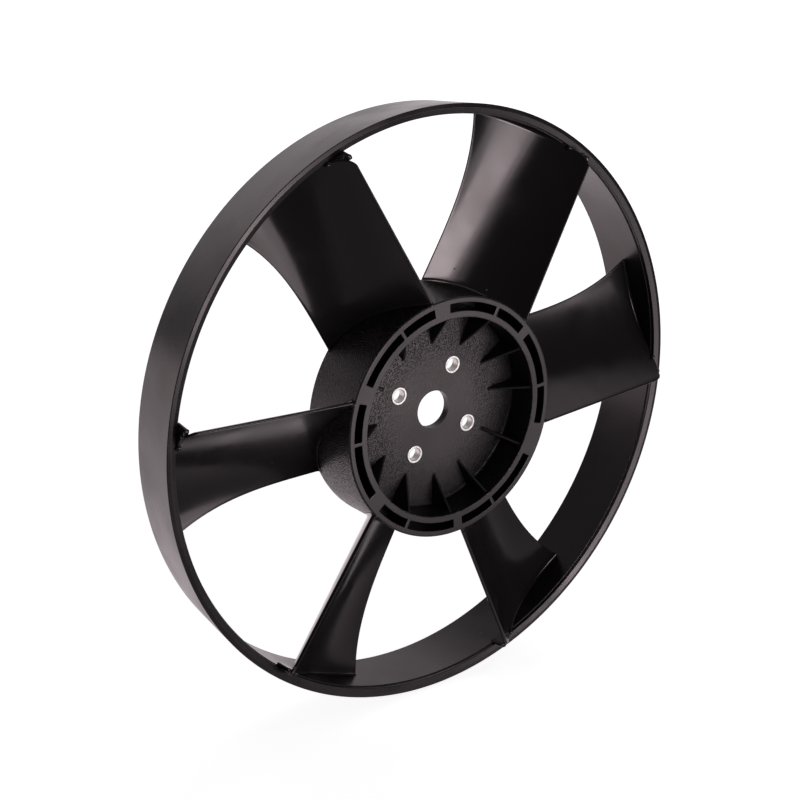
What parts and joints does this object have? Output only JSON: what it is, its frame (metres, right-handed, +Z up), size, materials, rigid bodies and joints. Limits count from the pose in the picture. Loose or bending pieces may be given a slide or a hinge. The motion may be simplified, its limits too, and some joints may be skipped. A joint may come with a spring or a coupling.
{
  "type": "axial fan impeller",
  "caption": "Axial fan impeller moulded in black plastic: cambered blades between a ribbed hub with a centring bore and a lipped outer ring, with plated steel screw sleeves.",
  "frame": {"origin": "on the axis of rotation, at the front face of the hub plate, which is level with the front edge of the outer ring", "axes": "+Y along the axis of rotation, towards the motor; the ribbed front of the hub faces -Y; +Z up"},
  "size_m": [0.3, 0.0485, 0.3],
  "materials": {
    "plastic": "semi-gloss moulded black plastic, finely pebbled inside the hub",
    "zinc_plated_steel": "bright zinc plating"
  },
  "bodies": {
    "root": {"impeller": "plastic", "sleeve_1": "zinc_plated_steel", "sleeve_2": "zinc_plated_steel", "sleeve_3": "zinc_plated_steel", "sleeve_4": "zinc_plated_steel"}
  },
  "joints": []
}
